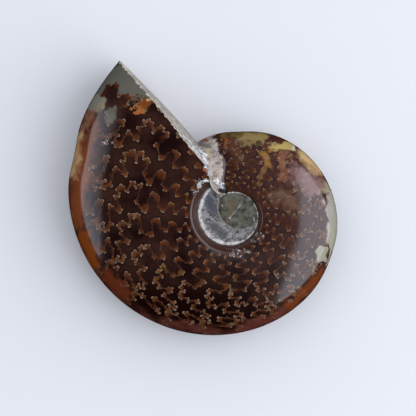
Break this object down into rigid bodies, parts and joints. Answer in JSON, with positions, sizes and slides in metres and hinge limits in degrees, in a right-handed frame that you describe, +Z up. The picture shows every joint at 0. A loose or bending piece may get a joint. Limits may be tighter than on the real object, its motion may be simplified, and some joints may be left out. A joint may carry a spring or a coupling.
{
  "type": "ammonite fossil",
  "caption": "Polished ammonite fossil lying on its side: a coiled stone shell with frilled suture lines, a matrix-filled umbilicus and a sawn mouth.",
  "frame": {"origin": "centre of the bottom of the bounding box, on the surface that the fossil lies on", "axes": "+Z up, across the coil, which leans 3 degrees from level; seen from above the coil opens clockwise and its mouth's tip points towards -X and +Y"},
  "size_m": [0.0632, 0.0644, 0.0213],
  "materials": {
    "polished_calcite": "brown calcite and agate with pale suture lines, polished to a gloss"
  },
  "bodies": {
    "root": {"ammonite": "polished_calcite"}
  },
  "joints": []
}
